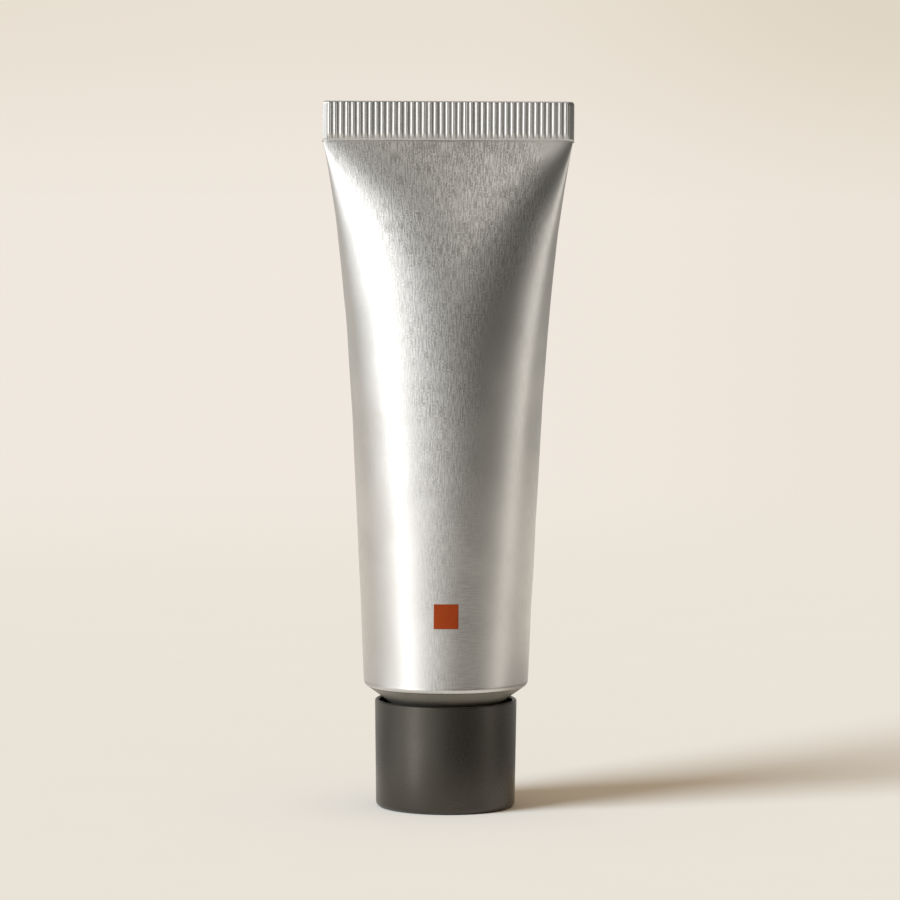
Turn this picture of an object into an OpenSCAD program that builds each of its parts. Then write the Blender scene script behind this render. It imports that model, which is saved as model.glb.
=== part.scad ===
// Cream tube: a laminate sleeve, sealed flat and ribbed at one end, standing on its screw cap.
// All sizes are in millimetres. The axis is Z, the cap's foot lies on Z = 0,
// the flat seal runs along X and the printed front faces -Y.

/* [Overall] */
// Height from the cap's foot to the top of the seal
total_h = 150; // [120:1:200]
// Diameter of the sleeve's round end
sleeve_d = 35; // [32:0.5:40]

/* [Sleeve] */
// Thickness of the laminate wall
wall_t = 0.35; // [0.25:0.05:0.5]
// Radius of the edge that rolls in towards the shoulder
roll_r = 1.5; // [1:0.1:2.5]
// Share of the widening that runs straight from the shoulder to the seal
width_straight = 0.567; // [0.3:0.01:0.8]
// Sharpness of the flare just below the seal
width_power = 4.5; // [3:0.5:8]
// Share of the flattening that runs straight from the shoulder to the seal
depth_straight = 0.3; // [0.1:0.05:0.6]
// Fullness of the filled body, seen from the side
depth_power = 5; // [3:0.5:8]

/* [Sealed end] */
// Height of the pressed seal
seal_h = 8; // [6:0.5:12]
// Length of wall that each side fold of the seal takes up
fold_take_up = 0.85; // [0:0.05:1.5]
// Height of the plain strip under the ribs
seal_strip = 0.55; // [0.3:0.05:1.5]
// Distance between neighbouring ribs
rib_pitch = 1.25; // [0.9:0.05:2]
// Height of a rib above the pressed faces
rib_depth = 0.22; // [0.1:0.02:0.3]
// Width of a rib's crest
rib_crest = 0.3; // [0.2:0.05:0.5]
// Width of a rib where it leaves the pressed face
rib_foot = 0.75; // [0.55:0.05:0.85]
// Plain margin at each end of the row of ribs
rib_margin = 1.1; // [0.6:0.1:3]
// Radius of the seal's top corners
seal_corner_r = 0.8; // [0.2:0.1:2]
// Step from the plain strip out to the body, on each face
seal_step = 0.12; // [0.05:0.01:0.3]

/* [Shoulder and neck] */
// Slope of the shoulder, from the horizontal
shoulder_slope = 36; // [30:1:45]
// Thickness of the moulded shoulder
shoulder_t = 1.2; // [0.8:0.1:1.6]
// Length of laminate that lies over the shoulder's edge
lap = 0.5; // [0.2:0.1:0.8]
// Groove between the sleeve's cut edge and the shoulder
lip_groove = 0.1; // [0.05:0.05:0.3]
// Diameter of the neck under its thread
neck_d = 12.9; // [11:0.1:14]
// Length of the neck
neck_l = 9; // [8.5:0.5:10]
// Bore of the neck
neck_bore_d = 9; // [7:0.5:10]
// Diameter of the orifice
orifice_d = 5; // [3:0.5:6]
// Thickness of the plate that holds the orifice
orifice_t = 1.2; // [0.8:0.1:2]
// Bevel at the neck's end
neck_bevel = 0.4; // [0.2:0.1:0.6]

/* [Thread] */
// Pitch of the thread
thread_pitch = 2.5; // [2:0.1:3]
// Number of turns
thread_turns = 2; // [1:0.25:2]
// Height of the ridge, measured from the neck
thread_depth = 0.95; // [0.6:0.05:1.1]
// Width of the ridge at its crest
thread_crest = 0.5; // [0.3:0.05:0.6]
// Width of the ridge at its foot
thread_foot = 1.1; // [0.9:0.05:1.2]
// Turn over which each end of the ridge fades out, in degrees
thread_fade = 60; // [30:10:120]
// Distance from the neck's end to the first turn
thread_start = 1; // [0.9:0.1:1.5]

/* [Cap] */
// Height of the cap
cap_h = 23; // [20:0.5:26]
// Diameter of the cap at its open rim
cap_rim_d = 30.2; // [29:0.1:31]
// Diameter of the cap at its foot
cap_foot_d = 29.6; // [28.5:0.1:30.2]
// Thickness of the cap's outer wall
cap_wall = 0.9; // [0.8:0.05:1.3]
// Thickness of the cap's floor
cap_floor = 1.2; // [1:0.1:2]
// Radius at the edge of the foot
foot_r = 1; // [0.5:0.1:1.5]
// Radius of the hollow's corner, inside the foot
inner_foot_r = 0.6; // [0.3:0.1:1]
// Wall of the threaded skirt inside the cap
skirt_t = 1.3; // [1:0.1:1.6]
// Thickness of the webs that join the skirt to the outer wall
web_t = 1; // [0.8:0.1:1.5]
// Height of those webs, from the foot
web_h = 13; // [8:0.5:16]
// Number of those webs
web_count = 4; // [3:1:8]
// Thickness of the ribs that carry the liner
rest_t = 1; // [0.8:0.1:1.5]
// Number of those ribs, each right across the skirt's bore
rest_count = 3; // [2:1:6]

/* [Liner] */
// Thickness of the sealing liner
liner_t = 1; // [0.6:0.1:1.5]

/* [Print] */
// Side of the printed square
square_w = 5.2; // [3:0.1:10]
// Height of the square's centre above the foot
square_z = 42.3; // [36:0.1:90]
// Thickness of the ink
ink_t = 0.05; // [0.03:0.01:0.1]

/* [Fit] */
// Height of the sleeve's cut edge above the cap's rim
rim_gap = 2.95; // [2.5:0.05:4]
// Gap between the sleeve and the shoulder where they are joined
seat_gap = 0.05; // [0.03:0.01:0.1]
// Radial gap between the neck's thread and the cap's skirt
thread_clear = 0.2; // [0.15:0.05:0.3]
// Play along the axis between the two threads
thread_play = 0.15; // [0.1:0.05:0.3]
// Radial gap around the liner
liner_clear = 0.3; // [0.2:0.05:0.5]
// Gap between the top of the skirt and the shoulder
skirt_clear = 0.4; // [0.2:0.05:0.8]
// Gap between the ink and the sleeve
ink_gap = 0.03; // [0.03:0.01:0.05]

/* [Smoothness] */
// Sides of the sleeve's outline
sleeve_sides = 96; // [48:12:120]
// Rings between the shoulder and the seal
sleeve_rings = 26; // [16:1:32]
// Steps in one turn of the thread
thread_steps = 24; // [18:2:36]
// Angle between neighbouring points of a rounded corner
corner_step = 15; // [10:5:30]
// Angle between neighbouring points of the cap's thin rim
rim_step = 22.5; // [15:7.5:45]

/* [Hidden] */
$fn = 96;

// Sleeve and seal
sleeve_r = sleeve_d / 2;
roll_turn = 90 - shoulder_slope;
lip_z = cap_h + rim_gap;
lip_r = sleeve_r - roll_r * (1 - cos(roll_turn));
body_z = lip_z + roll_r * sin(roll_turn);
seal_z = total_h - seal_h;
seal_w = PI * sleeve_d / 2 - 2 * fold_take_up;
seal_t = 2 * wall_t;
rib_count = floor((seal_w - 2 * rib_margin - rib_foot) / rib_pitch) + 1;
roll_steps = 6;
ring_crowding = 1.3;

// Directions in the axial plane, as [radius, height]: up the shoulder, and square to it, outwards
up_shoulder = [cos(shoulder_slope), sin(shoulder_slope)];
off_shoulder = [sin(shoulder_slope), -cos(shoulder_slope)];

// Neck, from its root on the shoulder down to its end on the liner
neck_r = neck_d / 2;
neck_root_z = shoulder_z(neck_r);
neck_end_z = neck_root_z - neck_l;
neck_bore_r = neck_bore_d / 2;
plate_top_z = neck_end_z + orifice_t;

// Thread of the neck and the cap's thread just above it
thread_r = neck_r + thread_depth;
thread_z = neck_end_z + thread_start;
thread_width = (thread_crest + thread_foot) / 2;
skirt_bore_r = thread_r + thread_clear;
cap_thread_z = thread_z + thread_width + thread_play;
thread_sink = 0.3;
ridge_left = 0.15;

// Cap and liner
skirt_r = skirt_bore_r + skirt_t;
skirt_top_z = shoulder_z(skirt_bore_r) - skirt_clear;
liner_r = skirt_bore_r - liner_clear;
liner_z = neck_end_z - liner_t;
rim_r = cap_rim_d / 2;
foot_flat_r = cap_foot_d / 2;
join = 0.2;

// Height of the shoulder's outer face at radius r
function shoulder_z(r) = lip_z - (lip_r - r) * tan(shoulder_slope);

// A point of the shoulder's section: depth below its outer face, and out along it from the lip
function shoulder_point(depth, out) = [lip_r, lip_z] - depth * off_shoulder + out * up_shoulder;

// Radius of the cap's outside at height z
function cap_r(z) = foot_flat_r + (rim_r - foot_flat_r) * z / cap_h;

// Eases from 0 to 1, partly straight and partly as a power
function ease(t, straight, power) = straight * t + (1 - straight) * pow(t, power);

// Share of the way from the shoulder to the seal, at height z
function rise(z) = (z - body_z) / (seal_z - body_z);

// Half width and half depth of the sleeve at height z
function half_width(z) =
    sleeve_r + (seal_w / 2 - seal_step - sleeve_r) * ease(rise(z), width_straight, width_power);
function half_depth(z) =
    sleeve_r - (sleeve_r - seal_t / 2 - seal_step) * ease(rise(z), depth_straight, depth_power);

// One ring of the sleeve: an ellipse
function ring(a, b, z) =
    [for (i = [0 : sleeve_sides - 1]) let (p = 360 * i / sleeve_sides) [a * cos(p), b * sin(p), z]];

// Heights of the rings, closer together towards the seal
function ring_z(i) = body_z + (seal_z - body_z) * (1 - pow(1 - i / sleeve_rings, ring_crowding));

// Section of the sleeve's foot, from the fill in the neck out to the cut edge, as [radius, height]
nose_r = neck_bore_r - seat_gap;
seat_depth = wall_t + seat_gap + shoulder_t + seat_gap;
function inside_z(r) = shoulder_z(r) + seat_depth / cos(shoulder_slope);
foot_section = [
    [nose_r, plate_top_z + seat_gap],
    [nose_r, inside_z(nose_r)],
    shoulder_point(seat_depth, lap + seat_gap),
    shoulder_point(wall_t, lap + seat_gap),
    shoulder_point(wall_t, 0)
];

// The edge that rolls in, from the cut edge up to the straight wall
function roll_section() =
    [for (i = [0 : roll_steps])
        let (p = roll_turn * (1 - i / roll_steps))
        [sleeve_r - roll_r * (1 - cos(p)), body_z - roll_r * sin(p)]];

// Four-sided faces, each cut into two triangles
function halves(quads) = [for (f = quads) each [[f[0], f[1], f[2]], [f[0], f[2], f[3]]]];

// Joins a stack of equal rings into one closed solid
module ring_stack(rings) {
    n = len(rings[0]);
    m = len(rings);
    sides = [for (k = [0 : m - 2], i = [0 : n - 1])
        [k * n + i, (k + 1) * n + i, (k + 1) * n + (i + 1) % n, k * n + (i + 1) % n]];
    ends = [[for (i = [0 : n - 1]) i], [for (i = [n - 1 : -1 : 0]) (m - 1) * n + i]];
    polyhedron(points = [for (r = rings) each r], faces = concat(halves(sides), ends));
}

// The filled sleeve below its seal
module sleeve_body() {
    round_part = concat(foot_section, roll_section());
    body = [for (i = [1 : sleeve_rings]) let (z = ring_z(i)) ring(half_width(z), half_depth(z), z)];
    tuck = [ring(seal_w / 2 - seal_step - seal_t, seal_t / 4, seal_z + seal_strip / 2)];
    ring_stack(concat([for (p = round_part) ring(p[0], p[0], p[1])], body, tuck));
}

// Section of the seal, seen from above, with ribs on both faces
module ribbed_section() {
    first_x = -(rib_count - 1) * rib_pitch / 2;
    face = [for (i = [0 : rib_count - 1])
        let (x = first_x + i * rib_pitch)
        each [
            [x - rib_foot / 2, seal_t / 2],
            [x - rib_crest / 2, seal_t / 2 + rib_depth],
            [x + rib_crest / 2, seal_t / 2 + rib_depth],
            [x + rib_foot / 2, seal_t / 2]
        ]];
    left = [[-seal_w / 2, -seal_t / 2], [-seal_w / 2, seal_t / 2]];
    right = [[seal_w / 2, seal_t / 2], [seal_w / 2, -seal_t / 2]];
    back = [for (i = [len(face) - 1 : -1 : 0]) [face[i][0], -face[i][1]]];
    polygon(concat(left, face, right, back));
}

// Outline of the seal, seen from the front, with its top corners rounded
module seal_outline() {
    c = seal_w / 2 - seal_corner_r;
    top = seal_h - seal_corner_r;
    right = [for (p = [0 : corner_step : 90]) [c + seal_corner_r * cos(p), top + seal_corner_r * sin(p)]];
    left = [for (p = [90 : corner_step : 180]) [-c + seal_corner_r * cos(p), top + seal_corner_r * sin(p)]];
    polygon(concat([[seal_w / 2, 0]], right, left, [[-seal_w / 2, 0]]));
}

// The pressed seal: a plain strip with the ribbed band above it, cut to the outline
module seal() {
    reach = seal_t + 2 * rib_depth;
    translate([0, 0, seal_z])
        intersection() {
            union() {
                translate([-seal_w / 2, -seal_t / 2, 0])
                    cube([seal_w, seal_t, seal_strip + join]);
                translate([0, 0, seal_strip])
                    linear_extrude(height = seal_h - seal_strip) ribbed_section();
            }
            translate([0, reach / 2 + join, 0])
                rotate([90, 0, 0])
                    linear_extrude(height = reach + 2 * join) seal_outline();
        }
}

module tube_sleeve() {
    color("#b4b1aa") {
        sleeve_body();
        seal();
    }
}

// A helical ridge: sunk from the wall at root_r, with its crest at crest_r and faded ends
module thread_ridge(root_r, crest_r, first_z) {
    n = ceil(thread_turns * thread_steps);
    fade = thread_steps * thread_fade / 360;
    side = sign(crest_r - root_r);
    sunk_r = root_r - side * thread_sink;
    steep = (thread_foot - thread_crest) / 2 / thread_depth;
    foot = thread_foot / 2 + steep * thread_sink;
    points = [for (i = [0 : n])
        let (
            p = 360 * i / thread_steps,
            z = first_z + thread_pitch * i / thread_steps,
            full = min(1, i / fade, (n - i) / fade),
            r = sunk_r + (crest_r - sunk_r) * (ridge_left + (1 - ridge_left) * full),
            half = foot - steep * abs(r - sunk_r)
        )
        each [
            [sunk_r * cos(p), sunk_r * sin(p), z - foot],
            [r * cos(p), r * sin(p), z - half],
            [r * cos(p), r * sin(p), z + half],
            [sunk_r * cos(p), sunk_r * sin(p), z + foot]
        ]];
    sides = [for (k = [0 : n - 1], j = [0 : 3])
        [4 * k + j, 4 * k + (j + 1) % 4, 4 * k + 4 + (j + 1) % 4, 4 * k + 4 + j]];
    ends = [[3, 2, 1, 0], [4 * n, 4 * n + 1, 4 * n + 2, 4 * n + 3]];
    faces = concat(halves(sides), ends);
    turned = [for (f = faces) [for (j = [len(f) - 1 : -1 : 0]) f[j]]];
    polyhedron(points = points, faces = side > 0 ? faces : turned);
}

// The moulded shoulder with its neck, orifice and thread
module shoulder_neck() {
    section = [
        [orifice_d / 2, neck_end_z],
        [neck_r - neck_bevel, neck_end_z],
        [neck_r, neck_end_z + neck_bevel],
        [neck_r, neck_root_z],
        shoulder_point(0, -lip_groove),
        shoulder_point(wall_t + seat_gap, -lip_groove),
        shoulder_point(wall_t + seat_gap, lap),
        shoulder_point(wall_t + seat_gap + shoulder_t, lap),
        [neck_bore_r, inside_z(neck_bore_r) - seat_gap / cos(shoulder_slope)],
        [neck_bore_r, plate_top_z],
        [orifice_d / 2, plate_top_z]
    ];
    color("#8d8b84") {
        rotate_extrude() polygon(section);
        thread_ridge(neck_r, thread_r, thread_z);
    }
}

module cap_liner() {
    color("#e8e6df")
        translate([0, 0, liner_z]) cylinder(r = liner_r, h = liner_t);
}

// The cap's outside: drafted wall, rounded foot and rounded rim
function cap_outside() = concat(
    [[0, 0]],
    [for (p = [-90 : corner_step : 0])
        [cap_r(foot_r) - foot_r + foot_r * cos(p), foot_r + foot_r * sin(p)]],
    [for (p = [0 : rim_step : 180])
        let (c = cap_h - cap_wall / 2)
        [cap_r(c) - cap_wall / 2 + cap_wall / 2 * cos(p), c + cap_wall / 2 * sin(p)]]
);

// The cap's hollow side: outer wall, rounded inner corner and the floor, in to the skirt
function cap_inside() = concat(
    [for (p = [0 : -rim_step : -90])
        let (z = cap_floor + inner_foot_r, r = cap_r(z) - cap_wall - inner_foot_r)
        [r + inner_foot_r * cos(p), z + inner_foot_r * sin(p)]],
    [
        [skirt_r, cap_floor],
        [skirt_r, skirt_top_z],
        [skirt_bore_r, skirt_top_z],
        [skirt_bore_r, cap_floor],
        [0, cap_floor]
    ]
);

// Webs between the skirt and the outer wall
module cap_webs() {
    for (i = [0 : web_count - 1])
        rotate([0, 0, 360 * (i + 0.5) / web_count])
            translate([skirt_r - join, -web_t / 2, cap_floor - join])
                cube([cap_r(0) - cap_wall + join - skirt_r + join, web_t, web_h - cap_floor + join]);
}

// Ribs inside the skirt that carry the liner
module liner_rest() {
    for (i = [0 : rest_count - 1])
        rotate([0, 0, 180 * i / rest_count])
            translate([-skirt_bore_r - join, -rest_t / 2, cap_floor - join])
                cube([2 * (skirt_bore_r + join), rest_t, liner_z - cap_floor + join]);
}

module screw_cap() {
    color("#3c3a38") {
        rotate_extrude() polygon(concat(cap_outside(), cap_inside()));
        cap_webs();
        liner_rest();
        thread_ridge(skirt_bore_r, neck_r + thread_clear, cap_thread_z);
    }
}

// A sheet of ink that follows the front of the sleeve
module printed_square() {
    steps = 8;
    low = square_z - square_w / 2;
    function front(x, z, off) =
        let (b = half_depth(z)) [x, -b * sqrt(1 - pow(x / half_width(z), 2)) - off, z];
    points = [for (off = [ink_gap, ink_gap + ink_t], k = [0 : steps], i = [0 : steps])
        front(square_w * (i / steps - 0.5), low + square_w * k / steps, off)];
    n = steps + 1;
    function at(s, k, i) = (s * n + k) * n + i;
    inner = [for (k = [0 : steps - 1], i = [0 : steps - 1])
        [at(0, k, i), at(0, k + 1, i), at(0, k + 1, i + 1), at(0, k, i + 1)]];
    outer = [for (f = inner) [for (j = [3 : -1 : 0]) f[j] + n * n]];
    sides = [for (i = [0 : steps - 1]) each [
        [at(0, 0, i), at(0, 0, i + 1), at(1, 0, i + 1), at(1, 0, i)],
        [at(0, steps, i + 1), at(0, steps, i), at(1, steps, i), at(1, steps, i + 1)],
        [at(0, i + 1, 0), at(0, i, 0), at(1, i, 0), at(1, i + 1, 0)],
        [at(0, i, steps), at(0, i + 1, steps), at(1, i + 1, steps), at(1, i, steps)]
    ]];
    color("#9c4322") polyhedron(points = points, faces = halves(concat(inner, outer, sides)));
}

screw_cap();
cap_liner();
shoulder_neck();
tube_sleeve();
printed_square();
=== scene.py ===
"""Builds and lights the visual model of a cream tube that stands on its screw cap.

The CAD model is loaded as a fixed frame. Here the filled sleeve with its ribbed seal and the
printed square are made again as finer pieces, and every piece gets its finish. Lengths are in
metres, the tube's axis is Z, the seal runs along X and the printed front faces -Y.
"""

import math

import bpy
from bpy.props import FloatProperty, FloatVectorProperty, IntProperty, PointerProperty
from mathutils import Euler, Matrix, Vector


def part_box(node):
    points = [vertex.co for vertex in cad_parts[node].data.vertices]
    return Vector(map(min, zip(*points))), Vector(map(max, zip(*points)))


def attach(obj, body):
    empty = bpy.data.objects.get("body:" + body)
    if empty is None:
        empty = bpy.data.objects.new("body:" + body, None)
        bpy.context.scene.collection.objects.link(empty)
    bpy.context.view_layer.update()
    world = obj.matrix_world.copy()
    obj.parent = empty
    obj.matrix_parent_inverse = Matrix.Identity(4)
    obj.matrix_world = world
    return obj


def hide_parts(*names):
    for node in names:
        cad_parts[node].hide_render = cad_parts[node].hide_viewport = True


bl_info = {
    "name": "Cream Tube",
    "version": (1, 0, 0),
    "blender": (4, 5, 0),
    "location": "3D View > Sidebar > Cream Tube",
    "description": "Makes and lights a laminate cream tube on the frame of its CAD model",
    "category": "Object",
}

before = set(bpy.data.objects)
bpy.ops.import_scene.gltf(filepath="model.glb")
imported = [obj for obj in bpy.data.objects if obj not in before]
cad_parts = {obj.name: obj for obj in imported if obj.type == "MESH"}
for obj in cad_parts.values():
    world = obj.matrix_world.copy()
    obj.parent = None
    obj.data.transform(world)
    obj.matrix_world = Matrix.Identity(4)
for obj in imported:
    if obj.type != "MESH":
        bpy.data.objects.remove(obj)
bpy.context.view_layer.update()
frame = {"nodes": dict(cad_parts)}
SLEEVE_LOW, SLEEVE_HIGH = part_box("tube_sleeve")
CAP_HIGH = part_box("screw_cap")[1]
SQUARE_LOW, SQUARE_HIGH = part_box("printed_square")

MM = 0.001
DEGREES = 180.0 / math.pi  # in one radian
PICTURE_WIDTH = 900  # in pixels


def length(name, description, default):
    """A length that a user may change, in metres."""
    return FloatProperty(
        name=name, description=description, default=default, unit="LENGTH", min=0.0, precision=5
    )


def share(name, description, default):
    """A value from 0 to 1 that a user may change."""
    return FloatProperty(name=name, description=description, default=default, min=0.0, max=1.0)


def tone(name, description, default):
    """A colour that a user may change, in linear values."""
    return FloatVectorProperty(
        name=name, description=description, default=default, subtype="COLOR", size=3, min=0.0, max=1.0
    )


def turn(name, description, degrees):
    """An angle that a user may change, with its default in degrees."""
    return FloatProperty(
        name=name, description=description, default=math.radians(degrees), subtype="ANGLE"
    )


class SleeveSizes(bpy.types.PropertyGroup):
    """Form of the filled sleeve below its seal."""

    radius: length("Radius", "Radius of the sleeve's round end", SLEEVE_HIGH.y)
    wall: length("Wall", "Thickness of the laminate", 0.35 * MM)
    roll_radius: length("Roll Radius", "Radius of the edge that rolls in to the shoulder", 1.5 * MM)
    slope: turn("Shoulder Slope", "Slope of the shoulder, from the horizontal", 36)
    lip_above_cap: length("Lip Height", "Height of the cut edge above the cap's rim", 2.95 * MM)
    lap: length("Lap", "Length of laminate that lies over the shoulder's edge", 0.55 * MM)
    seat: length("Seat", "Thickness of the wall and the shoulder together", 1.65 * MM)
    nose_radius: length("Nose Radius", "Radius of the cream in the neck", 4.45 * MM)
    nose_height: length("Nose Height", "Height of the lower end of the cream", SLEEVE_LOW.z)
    width_straight: share("Width Straight", "Share of the widening that runs straight", 0.567)
    width_power: FloatProperty(name="Width Power", description="Sharpness of the flare", default=4.5)
    depth_straight: share("Depth Straight", "Share of the flattening that runs straight", 0.3)
    depth_power: FloatProperty(name="Depth Power", description="Fullness of the body", default=5.0)
    bow: length("Bow", "Dip of the seal's lower line at its middle", 0.5 * MM)
    dent: length("Dents", "Depth of the soft unevenness of the filled body", 0.06 * MM)
    dent_size: length("Dent Size", "Width of the soft unevenness", 16 * MM)
    sides: IntProperty(name="Sides", description="Faces round the sleeve", default=256)
    rings: IntProperty(name="Rings", description="Faces up the wall", default=120)
    seed: IntProperty(name="Seed", description="Seed of the unevenness", default=3)


class SealSizes(bpy.types.PropertyGroup):
    """Form of the flat seal and its pressed ribs."""

    height: length("Height", "Height of the seal", 8 * MM)
    root: length("Root", "Height of the seal's hidden foot inside the body", 0.7 * MM)
    thickness: length("Thickness", "Thickness of the pressed seal", 0.7 * MM)
    step: length("Step", "Step from the plain strip out to the body", 0.12 * MM)
    strip: length("Strip", "Height of the plain strip under the ribs", 0.55 * MM)
    corner: length("Corner", "Radius of the seal's top corners", 0.8 * MM)
    edge: length("Edge", "Radius of the seal's edges", 0.15 * MM)
    margin: length("Margin", "Width over which the seal's ends thin out", 0.95 * MM)
    rib_pitch: length("Rib Pitch", "Distance between neighbouring ribs", 1.25 * MM)
    rib_depth: length("Rib Depth", "Height of a rib above the pressed face", 0.17 * MM)
    rib_width: length("Rib Width", "Width of a rib at its foot", 1.13 * MM)
    rib_margin: length("Rib Margin", "Plain margin at each end of the row of ribs", 1.0 * MM)
    rib_wander: length("Rib Wander", "Uneven spacing of the ribs", 0.05 * MM)
    columns: IntProperty(name="Columns", description="Faces along the seal", default=1060)
    rows: IntProperty(name="Rows", description="Faces up the seal", default=30)
    seed: IntProperty(name="Seed", description="Seed of the ribs' unevenness", default=11)


class SquareSizes(bpy.types.PropertyGroup):
    """Form of the printed square."""

    side: length("Side", "Side of the printed square", SQUARE_HIGH.x - SQUARE_LOW.x)
    middle: length("Height", "Height of its middle above the foot", (SQUARE_LOW.z + SQUARE_HIGH.z) / 2)
    gap: length("Gap", "Gap between the ink and the sleeve", 0.03 * MM)
    ink: length("Ink", "Thickness of the ink", 0.05 * MM)
    cells: IntProperty(name="Cells", description="Faces along one side", default=24)


class Finishes(bpy.types.PropertyGroup):
    """Colours and roughness of the pieces."""

    foil: tone("Foil", "Silver face of the laminate", (0.90, 0.895, 0.875))
    foil_dull: tone("Dull Foil", "Silver face in its fine marks", (0.44, 0.43, 0.41))
    foil_roughness: share("Foil Roughness", "Roughness of the silver face", 0.31)
    foil_relief: length("Foil Relief", "Depth of the fine marks in the silver face", 0.008 * MM)
    cap: tone("Cap", "Charcoal plastic of the cap", (0.0058, 0.0048, 0.0034))
    cap_worn: tone("Worn Cap", "Charcoal plastic where it is rubbed", (0.0100, 0.0086, 0.0068))
    cap_sheen: tone("Cap Sheen", "Tint of the light that the cap reflects", (1.0, 0.93, 0.82))
    cap_roughness: share("Cap Roughness", "Roughness of the cap", 0.3)
    shoulder: tone("Shoulder", "Grey plastic of the shoulder", (0.235, 0.225, 0.195))
    shoulder_dull: tone("Dull Shoulder", "Grey plastic in its flow marks", (0.19, 0.18, 0.155))
    liner: tone("Liner", "Foam of the sealing liner", (0.80, 0.79, 0.75))
    liner_pore: tone("Liner Pores", "Foam in its pores", (0.66, 0.65, 0.61))
    ink: tone("Ink", "Orange-brown ink of the square", (0.265, 0.036, 0.004))
    ink_dense: tone("Dense Ink", "Ink where it lies thicker", (0.23, 0.030, 0.003))


class StageSetting(bpy.types.PropertyGroup):
    """Camera, light and surroundings."""

    camera_distance: length("Camera Distance", "Distance of the camera in front of the axis", 1.010)
    camera_height: length("Camera Height", "Height of the camera above the floor", 0.1516)
    camera_shift: length("Camera Shift", "Distance of the camera to the right of the axis", 0.00034)
    camera_pitch: turn("Camera Pitch", "Downward tilt of the camera", 4.276)
    camera_roll: turn("Camera Roll", "Roll of the camera", -0.25)
    focal_px: FloatProperty(
        name="Focal Length", description="Focal length in pixels of a picture 900 wide", default=4767.0
    )
    key_azimuth: turn(
        "Key Azimuth", "Direction of the key light, from the camera's side to the right", -57
    )
    key_elevation: turn("Key Elevation", "Height of the key light above the horizon", 30)
    key_angle: turn("Key Angle", "Width of the key light, as seen from the tube", 30)
    key_strength: FloatProperty(
        name="Key Strength", description="Strength of the key light", default=4.08
    )
    key_color: tone("Key Colour", "Colour of the key light", (0.795, 0.894, 1.0))
    ambient: tone("Ambient", "Light of the room on matt surfaces", (0.468, 0.382, 0.285))
    floor: tone("Floor", "Colour of the floor", (0.845, 0.805, 0.74))
    floor_mottle: tone("Floor Mottle", "Colour of the floor's soft mottle", (0.83, 0.79, 0.724))
    backdrop: tone("Backdrop", "Colour behind the tube", (0.871, 0.807, 0.730))
    backdrop_edge: tone("Backdrop Edge", "Colour at the backdrop's dim edges", (0.745, 0.672, 0.556))
    floor_size: length("Floor Size", "Side of the floor", 12.0)
    fade_start: length("Fade Start", "Distance at which the floor starts to run into the backdrop", 0.30)
    fade_end: length("Fade End", "Distance at which the floor is the backdrop", 0.9)


class TubeSettings(bpy.types.PropertyGroup):
    """All settings of the cream tube."""

    sleeve: PointerProperty(type=SleeveSizes)
    seal: PointerProperty(type=SealSizes)
    square: PointerProperty(type=SquareSizes)
    finish: PointerProperty(type=Finishes)
    stage: PointerProperty(type=StageSetting)


# Node trees


class Field:
    """A value in a node tree. Arithmetic on it adds the Math nodes that work it out."""

    def __init__(self, tree, socket):
        self.tree = tree
        self.socket = socket

    def math(self, operation, *others):
        return calculate(self.tree, operation, self, *others)

    def __add__(self, other):
        return self.math("ADD", other)

    def __sub__(self, other):
        return self.math("SUBTRACT", other)

    def __mul__(self, other):
        return self.math("MULTIPLY", other)

    def __truediv__(self, other):
        return self.math("DIVIDE", other)

    def __pow__(self, other):
        return self.math("POWER", other)

    __radd__ = __add__
    __rmul__ = __mul__

    def __rsub__(self, other):
        return calculate(self.tree, "SUBTRACT", other, self)

    def __rtruediv__(self, other):
        return calculate(self.tree, "DIVIDE", other, self)

    def __neg__(self):
        return self.math("MULTIPLY", -1.0)

    def clamped(self):
        """The value, kept between 0 and 1."""
        return self.math("MAXIMUM", 0.0).math("MINIMUM", 1.0)

    def eased(self, start, end):
        """0 up to start, 1 from end on, and a smooth slope between them."""
        node = self.tree.nodes.new("ShaderNodeMapRange")
        node.interpolation_type = "SMOOTHSTEP"
        for place, value in zip(("Value", "From Min", "From Max"), (self, start, end)):
            put(self.tree, node.inputs[place], value)
        return Field(self.tree, node.outputs["Result"])

    def bell(self, middle, width):
        """A bell curve that is 1 at middle and falls to about a third at width from it."""
        offset = (self - middle) / width
        return (offset * offset * -1.0).math("EXPONENT")


def put(tree, place, value):
    """Links a Field or a socket to an input, or sets the input to a plain value."""
    if isinstance(value, Field):
        value = value.socket
    if isinstance(value, bpy.types.NodeSocket):
        tree.links.new(value, place)
    else:
        place.default_value = value


def calculate(tree, operation, *values):
    """A Math node on Fields and numbers."""
    node = tree.nodes.new("ShaderNodeMath")
    node.operation = operation
    for place, value in zip(node.inputs, values):
        put(tree, place, value)
    return Field(tree, node.outputs[0])


def add(tree, kind, inputs=None, **settings):
    """A node with its settings and inputs. Inputs are named or numbered."""
    node = tree.nodes.new(kind)
    for name, value in settings.items():
        setattr(node, name, value)
    for name, value in (inputs or {}).items():
        put(tree, node.inputs[name], value)
    return node


def split(tree, vector):
    """The X, Y and Z of a vector, as Fields."""
    node = add(tree, "ShaderNodeSeparateXYZ", {0: vector})
    return [Field(tree, out) for out in node.outputs]


def joined(tree, x, y, z):
    """A vector from three values."""
    return add(tree, "ShaderNodeCombineXYZ", {0: x, 1: y, 2: z}).outputs[0]


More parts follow.
